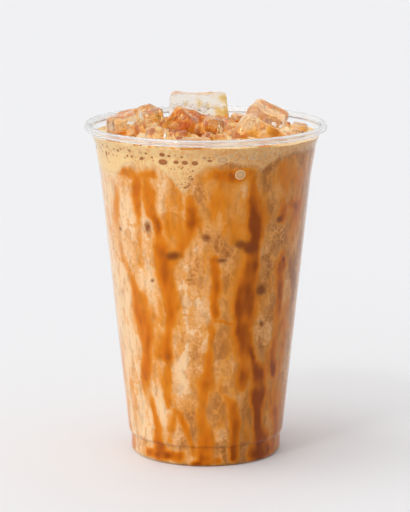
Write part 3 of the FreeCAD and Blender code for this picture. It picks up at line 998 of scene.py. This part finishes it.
class ICED_OT_cup(bpy.types.Operator):
    """Clear cup with a rolled rim and a stacking band"""

    bl_idname = "iced.cup"
    bl_label = "Cup"

    def execute(self, context):
        cup = context.scene.iced_cup
        ring, wall = standing_ring(cup), outer_wall(cup)
        under = [(3 * MM, cup.punt_rise), (ring - cup.punt_slope, cup.punt_rise), (ring, 0)]
        heel = heel_arc(cup, cup.heel_radius, -90, 0, 6)
        outside = eased([heel[-1], *wall[1:], (wall[-1][0], cup.height - cup.bead_radius)], 1.2 * MM)
        inside = [(radius - cup.wall, height) for radius, height in reversed(outside)]
        bead = (cup.rim_radius - cup.bead_radius, cup.height - cup.bead_radius)
        curl = arc(bead, cup.bead_radius - cup.wall, 180, -90, 14) + arc(bead, cup.bead_radius, -90, 180, 18)
        inner_heel = heel_arc(cup, cup.heel_radius - cup.wall, 0, -90, 6)
        floor = [(radius, height + cup.wall) for radius, height in reversed(under)]
        run = under + heel + outside[1:-1] + curl + inside[1:-1] + inner_heel + floor
        piece = turned("cup_wall", spread(run, 12 * MM), 144)
        smooth(piece, 40)
        finish_piece(piece, cup_finish(), ["cup"])
        piece.data.materials.append(rim_finish())
        for face in piece.data.polygons:
            face.material_index = int(face.center.z > cup.height - cup.bead_drop + 0.4 * MM)
        return {"FINISHED"}


def melted(piece, number, dent_size, dent_depth):
    """Dents and ridges, as melting leaves them."""
    table, normals = places_of(piece), normals_of(piece)
    draw = np.random.RandomState(100 + number)
    count = max(6, int(len(table) * (0.6 * MM / dent_size) ** 2 * 0.3))
    dents = table[draw.choice(len(table), count, replace=False)]
    away = np.full(len(table), 1.0)
    for dent in dents:
        away = np.minimum(away, np.linalg.norm((table - dent) / dent_size, axis=1))
    depth = dent_depth * (1 - away**2) + 0.07 * MM * (1 + waves(table, 3 * MM, number))
    set_places(piece, table - normals * depth[:, None])
    apply_modifier(piece, "SMOOTH", factor=0.5, iterations=1)


def syrup_over(piece, number, share, lean):
    """How much syrup lies over each place of some ice: more low down and towards one side by the lean, in
    patches.
    """
    table = places_of(piece)
    across = (table[:, 0] - table[:, 0].mean()) / MM
    low = 0.042 * (137 - table[:, 2] / MM)
    wide = 0.28 * waves(table * (1, 1, 0.6), 7 * MM, 70 + number)
    fine = 0.32 * waves(table, 3 * MM, 90 + number)
    return share + lean * across + low + (wide + fine)


class ICED_OT_ice(bpy.types.Operator):
    """Half-melted ice, dented and ridged, standing out of the drink"""

    bl_idname = "iced.ice"
    bl_label = "Ice"

    def execute(self, context):
        material = ice_finish(context.scene.iced_colours)
        for number, node in enumerate(sorted(n for n in frame["nodes"] if n.startswith("ice_"))):
            piece = copy_of(node, "melted_" + node)
            apply_modifier(piece, "REMESH", mode="VOXEL", voxel_size=0.6 * MM)
            apply_modifier(piece, "SMOOTH", factor=0.5, iterations=3)
            melted(piece, number, 4.6 * MM, 0.5 * MM)
            set_attribute(piece, "syrup", syrup_over(piece, number, *ICE_SYRUP.get(node, (0.2, 0))))
            smooth(piece, 50)
            finish_piece(piece, material, [node])
        return {"FINISHED"}


def room_beside(block, place):
    """How far a place is from the face of a block that is nearest to it, below 0 inside the block."""
    _, point, normal, _ = block.closest_point_on_mesh(Vector(place))
    return (Vector(place) - point).dot(normal)


class ICED_OT_shards(bpy.types.Operator):
    """Small ice between the blocks"""

    bl_idname = "iced.shards"
    bl_label = "Ice shards"

    def execute(self, context):
        drink = context.scene.iced_drink
        draw = random.Random(11)
        blocks = [o for o in bpy.data.objects if o.name.startswith("melted_ice")]
        taken = np.full((1, 3), 1.0)
        made = []
        for _ in range(SHARD_TRIES):
            if len(made) == SHARDS:
                break
            size = draw.uniform(3.2, 7.6) * MM
            turn, away = draw.uniform(0, 2 * math.pi), 39 * MM * math.sqrt(draw.random())
            lift = drink.heap * float(step_between(np.array(44 * MM - away), HEAP_FOOT, HEAP_FULL))
            middle = np.array([away * math.sin(turn), -away * math.cos(turn), drink.level + lift + size * 0.12])
            if np.linalg.norm(taken - middle, axis=1).min() < size * 0.62:
                continue
            if min(room_beside(block, middle) for block in blocks) < size * 0.5:
                continue
            scale = (draw.uniform(0.7, 1.1), draw.uniform(0.7, 1.1), draw.uniform(0.6, 1.0))
            shard = ice_cube(size, scale, size * 0.14, 2, 0.45 * MM)
            melted(shard, 50 + len(made), size * 0.5, size * 0.07)
            lean = Euler([draw.uniform(-0.6, 0.6), draw.uniform(-0.6, 0.6), draw.uniform(0, 3)]).to_matrix()
            set_places(shard, places_of(shard) @ np.array(lean).T + middle)
            taken = np.concatenate([taken, places_of(shard)[::3]])
            made.append(shard)
        piece = joined(made, "melted_ice_shards")
        set_attribute(piece, "syrup", syrup_over(piece, 99, 0.2, 0))
        smooth(piece, 50)
        finish_piece(piece, ice_finish(context.scene.iced_colours))
        return {"FINISHED"}


class ICED_OT_milk_coffee(bpy.types.Operator):
    """Milk coffee that fills the cup up to the froth"""

    bl_idname = "iced.milk_coffee"
    bl_label = "Milk coffee"

    def execute(self, context):
        cup, drink = context.scene.iced_cup, context.scene.iced_drink
        top = drink.level - 2.5 * MM
        radius = float(wall_radius(cup, top))
        rings = filling_rings(cup, top, 2.6 * MM)
        rings += [(radius * share, top) for share in (0.9, 0.7, 0.5, 0.3, 0.1)]
        piece = turned("milk_coffee", rings, 88, 3)
        set_places(piece, pressed_out(places_of(piece), cup, drink.wet))
        cut_by_ice(piece, drink.level - drink.hollow - DRINK_DEEPER, -DRINK_WIDER)
        paint(piece, cup, drink)
        smooth(piece, 60)
        material = drink_finish("milk coffee", context.scene.iced_colours, 0.5)
        finish_piece(piece, material, ["drink"])
        return {"FINISHED"}


class ICED_OT_froth(bpy.types.Operator):
    """Froth on the drink, sagging down the wall"""

    bl_idname = "iced.froth"
    bl_label = "Froth"

    def execute(self, context):
        cup, drink = context.scene.iced_cup, context.scene.iced_drink
        low, top, step = 112 * MM, drink.level, 2.2 * MM
        edge, foot = float(wall_radius(cup, top)), float(wall_radius(cup, low))
        rings = [(foot * share, low) for share in (0.1, 0.4, 0.7, 0.9)]
        rings += wall_rings(cup, low, top, step)
        rings += spread([(edge, top), (3 * MM, top)], step)[1:]
        piece = turned("froth_layer", rings, 96, 3)
        table = places_of(piece)
        radii = np.hypot(table[:, 0], table[:, 1])
        on_top = table[:, 2] > top - 0.01 * MM
        turns = np.radians(degrees_round(table))
        ripple = 0.62 + 0.38 * np.cos(turns) + 0.12 * np.sin(5 * turns) + 0.08 * np.sin(13 * turns + 1)
        reach = drink.meniscus * ripple
        inside = np.maximum(edge - radii, 0)
        climb = reach * np.exp(-inside / (1.3 * MM))
        lumps = 0.4 * MM * waves(table, 4 * MM, 20) + 0.16 * MM * waves(table, 1.6 * MM, 21)
        away = step_between(edge - radii, 0, 3 * MM)
        heap = drink.heap * step_between(edge - radii, HEAP_FOOT, HEAP_FULL)
        share = np.clip((table[:, 2] - (top - step)) / step, 0, 1)
        table[:, 2] += np.where(on_top, climb + (lumps + heap) * away, reach * share)
        flare = (wall_radius(cup, top + reach) - edge) * np.exp(-inside / (0.8 * MM))
        far = np.maximum(radii, MM)
        table[:, :2] *= (1 + np.where(on_top, flare, 0) / far)[:, None]
        beside = ~on_top & (table[:, 2] > top - step)
        table[:, :2] *= np.where(beside, wall_radius(cup, table[:, 2]) / far, 1)[:, None]
        set_places(piece, table)
        _, foam = paint(piece, cup, drink)
        reach = drink.wet - BEHIND + FROTH_OUT * step_between(foam, 0.3, 0.6)
        set_places(piece, pressed_out(table, cup, reach))
        cut_by_ice(piece, drink.level - drink.hollow, FROTH_NARROWER)
        paint(piece, cup, drink)
        smooth(piece, 60)
        material = drink_finish("froth", context.scene.iced_colours, 0.3, 0.3)
        finish_piece(piece, material, ["froth"])
        return {"FINISHED"}


class ICED_OT_syrup(bpy.types.Operator):
    """Syrup on the cup's floor and running down inside its wall"""

    bl_idname = "iced.syrup"
    bl_label = "Syrup"

    def execute(self, context):
        cup, drink = context.scene.iced_cup, context.scene.iced_drink
        top = 124 * MM
        rings = filling_rings(cup, top, 3.0 * MM)
        shell = 3 * MM
        heights = [height * MM for height in (120, 90, 60, 30, 8, 6)]
        inner = [(float(wall_radius(cup, height)) - shell, height) for height in heights]
        rings += inner + [(inner[-1][0] * share, 6 * MM) for share in (0.5, 0.1)]
        piece = turned("caramel_syrup", rings, 84, 3)
        syrup, _ = paint(piece, cup, drink)
        reach = drink.wet - BEHIND + (BEHIND + drink.streak) * step_between(syrup, 0.22, 0.45)
        set_places(piece, pressed_out(places_of(piece), cup, reach))
        paint(piece, cup, drink)
        smooth(piece, 60)
        material = drink_finish("caramel", context.scene.iced_colours, 0.25)
        finish_piece(piece, material, ["caramel_pool"])
        return {"FINISHED"}


def stands_clear(places, turn, height, half):
    """Whether a bubble stands clear of the others. At the froth a degree is 0.77 mm of wall."""
    return all(
        math.hypot(wrapped(turn - other[0]) * 0.77, height - other[1]) > half + other[2] + 0.15
        for other in places
    )


def bubble_of(pattern, table, pale):
    """A copy of a round put in its place, with attributes for its ring and its paleness."""
    unit = places_of(pattern)
    bubble = own_copy(pattern)
    set_places(bubble, table)
    set_attribute(bubble, "ring", np.hypot(unit[:, 0], unit[:, 2]))
    set_attribute(bubble, "pale", np.full(len(unit), float(pale)))
    return bubble


class ICED_OT_bubbles(bpy.types.Operator):
    """Bubbles and specks in the froth against the wall and on its top"""

    bl_idname = "iced.bubbles"
    bl_label = "Bubbles"

    def execute(self, context):
        cup, drink = context.scene.iced_cup, context.scene.iced_drink
        draw = random.Random(7)
        places = BUBBLES + [(180 - turn, *others) for turn, *others in BUBBLES]
        for turn, spread_of, low, high, count in SPECKLED:
            for _ in range(count):
                height = draw.uniform(low, high)
                # the specks close in towards a sag's foot
                share = (height - low) / (high - low) * 0.75 + 0.25
                half = draw.uniform(0.16, 0.5) ** 1.2
                across = draw.uniform(-spread_of, spread_of) * share
                places.append((turn + across, height, half, half * draw.uniform(0.6, 1), 0.1 * draw.random()))
        for _ in range(PALE_BUBBLE_TRIES):
            turn, height, half = draw.uniform(-180, 180), draw.uniform(125.6, 130.4), draw.uniform(0.35, 1.1)
            if stands_clear(places, turn, height, half) and height < 128.6 + draw.random() * 2.5:
                places.append((turn, height, half, half * draw.uniform(0.6, 0.9), draw.uniform(0.45, 0.95)))
        bpy.ops.object.select_all(action="DESELECT")
        patterns = []
        for segments, rings in ((16, 8), (8, 5)):
            upright = (math.radians(90), 0, 0)
            bpy.ops.mesh.primitive_uv_sphere_add(segments=segments, ring_count=rings, rotation=upright)
            bpy.ops.object.transform_apply(rotation=True)
            patterns.append(context.object)
        made = []
        for turn, height, half, high, pale in places:
            pattern = patterns[int(half < 0.6)]
            unit = places_of(pattern)
            heights = (height + unit[:, 2] * high) * MM
            radii = wall_radius(cup, heights) + drink.wet + 0.24 * MM - unit[:, 1] * 0.1 * MM
            turns = np.radians(turn) + unit[:, 0] * half * MM / radii
            table = np.stack([radii * np.sin(turns), -radii * np.cos(turns), heights], axis=1)
            made.append(bubble_of(pattern, table, pale))
        top = bpy.data.objects["froth_layer"]
        table = places_of(top)[normals_of(top)[:, 2] > 0.8]
        table = table[table[:, 2] > drink.level - 0.5 * MM]
        unit = places_of(patterns[1])[:, (0, 2, 1)]
        for _ in range(TOP_BUBBLES):
            middle, half = table[draw.randrange(len(table))], draw.uniform(0.3, 1.0) ** 1.6 * MM
            rounded = middle + unit * (half, half, -half * 0.55)
            made.append(bubble_of(patterns[1], rounded, draw.uniform(0.9, 1.2)))
        for pattern in patterns:
            bpy.data.objects.remove(pattern)
        piece = joined(made, "froth_bubbles")
        smooth(piece, 60)
        finish_piece(piece, bubble_finish(context.scene.iced_colours))
        return {"FINISHED"}


class ICED_OT_sunk_ice(bpy.types.Operator):
    """Ice under the surface, pressed to the wall"""

    bl_idname = "iced.sunk_ice"
    bl_label = "Sunk ice"

    def execute(self, context):
        cup, drink = context.scene.iced_cup, context.scene.iced_drink
        made = []
        for number, (turn, height, wide, tall, tilt) in enumerate(SUNK_ICE):
            block = ice_cube(1, (wide * MM, 9 * MM, tall * MM), 2.2 * MM, 3, 0.7 * MM)
            table = places_of(block)
            table += normals_of(block) * (0.5 * MM * waves(table, 5 * MM, 40 + number))[:, None]
            lean = math.radians(tilt)
            x = table[:, 0] * math.cos(lean) - table[:, 2] * math.sin(lean)
            z = table[:, 0] * math.sin(lean) + table[:, 2] * math.cos(lean) + height * MM
            wall = wall_radius(cup, z)
            reach = wall - 3.2 * MM - table[:, 1]
            pressed = reach - wall
            radii = np.minimum(reach, wall + drink.wet + 0.05 * MM)
            turns = math.radians(turn) + x / wall
            set_places(block, np.stack([radii * np.sin(turns), -radii * np.cos(turns), z], axis=1))
            set_attribute(block, "press", np.clip(pressed / MM, 0, 1))
            made.append(block)
        piece = joined(made, "sunk_ice")
        paint(piece, cup, drink)
        press = attribute_of(piece, "press")
        set_attribute(piece, "brew", attribute_of(piece, "brew") - 0.32 * step_between(press, 0.2, 1.0))
        set_attribute(piece, "grainy", press * 0.3)
        smooth(piece, 60)
        finish_piece(piece, drink_finish("sunk ice", context.scene.iced_colours, 0.4))
        return {"FINISHED"}


# The lights: name, where it comes from, strength and width in degrees.
LIGHTS = [
    ("key", (-1, -0.14, 2.1), 0.66, 36),
    ("fill", (-0.62, -1, 0.35), 0.84, 60),
    ("glint", (-0.7, -1, 1.5), 0.3, 9),
]


class ICED_OT_stage(bpy.types.Operator):
    """Pale floor, soft light and the camera"""

    bl_idname = "iced.stage"
    bl_label = "Stage"

    def execute(self, context):
        stage = context.scene.iced_stage
        bpy.ops.object.select_all(action="DESELECT")
        bpy.ops.mesh.primitive_plane_add(size=30, location=(0, 0, 0))
        floor = context.object
        floor.name = floor.data.name = "floor"
        floor.data.materials.append(floor_finish(stage.floor))

        camera = bpy.data.objects.new("camera", bpy.data.cameras.new("camera"))
        context.scene.collection.objects.link(camera)
        camera.location = (0, -stage.camera_distance, stage.camera_height)
        camera.rotation_euler = (math.radians(90) - stage.camera_tilt, 0, 0)
        camera.data.lens = stage.lens
        camera.data.sensor_width = 36
        camera.data.sensor_fit = "HORIZONTAL"
        camera.data.shift_x = -0.0017
        context.scene.camera = camera

        for name, origin, energy, width in LIGHTS:
            light = bpy.data.objects.new(name, bpy.data.lights.new(name, "SUN"))
            context.scene.collection.objects.link(light)
            light.rotation_euler = Vector(origin).to_track_quat("Z", "Y").to_euler()
            light.data.energy = energy
            light.data.angle = math.radians(width)

        world = bpy.data.worlds.new("studio")
        context.scene.world = world
        world.use_nodes = True
        nodes, links = world.node_tree.nodes, world.node_tree.links
        way = nodes.new("ShaderNodeTexCoord").outputs["Generated"]
        apart = nodes.new("ShaderNodeSeparateXYZ")
        share = nodes.new("ShaderNodeMapRange")
        for name, value in (("From Min", -0.9), ("From Max", 0.7), ("To Min", 0.46), ("To Max", 0.87)):
            share.inputs[name].default_value = value
        links.new(way, apart.inputs[0])
        links.new(apart.outputs["Y"], share.inputs["Value"])
        links.new(share.outputs["Result"], nodes["Background"].inputs["Strength"])
        nodes["Background"].inputs["Color"].default_value = (1, 1, 1, 1)
        context.scene.view_settings.view_transform = "Standard"
        return {"FINISHED"}


class ICED_PT_panel(bpy.types.Panel):
    """Sizes, colours and pieces of the iced coffee"""

    bl_idname = "ICED_PT_panel"
    bl_label = "Iced coffee"
    bl_space_type = "VIEW_3D"
    bl_region_type = "UI"
    bl_category = "Iced coffee"

    def draw(self, context):
        for operator in OPERATORS:
            self.layout.operator(operator.bl_idname)
        for group in (getattr(context.scene, name) for name in GROUPS):
            box = self.layout.box()
            for name in group.__annotations__:
                box.prop(group, name)


OPERATORS = [
    ICED_OT_cup,
    ICED_OT_ice,
    ICED_OT_shards,
    ICED_OT_milk_coffee,
    ICED_OT_froth,
    ICED_OT_syrup,
    ICED_OT_bubbles,
    ICED_OT_sunk_ice,
    ICED_OT_stage,
]
GROUPS = {
    "iced_cup": CupSizes,
    "iced_drink": DrinkSizes,
    "iced_colours": DrinkColours,
    "iced_stage": StageSettings,
}


def register():
    for kind in (*GROUPS.values(), *OPERATORS, ICED_PT_panel):
        bpy.utils.register_class(kind)
    for name, group in GROUPS.items():
        setattr(bpy.types.Scene, name, PointerProperty(type=group))


def unregister():
    for name in GROUPS:
        delattr(bpy.types.Scene, name)
    for kind in reversed((*GROUPS.values(), *OPERATORS, ICED_PT_panel)):
        bpy.utils.unregister_class(kind)


def main():
    register()
    bpy.ops.iced.cup()
    bpy.ops.iced.ice()
    bpy.ops.iced.shards()
    bpy.ops.iced.milk_coffee()
    bpy.ops.iced.froth()
    bpy.ops.iced.syrup()
    bpy.ops.iced.bubbles()
    bpy.ops.iced.sunk_ice()
    bpy.ops.iced.stage()


if __name__ == "__main__":
    main()
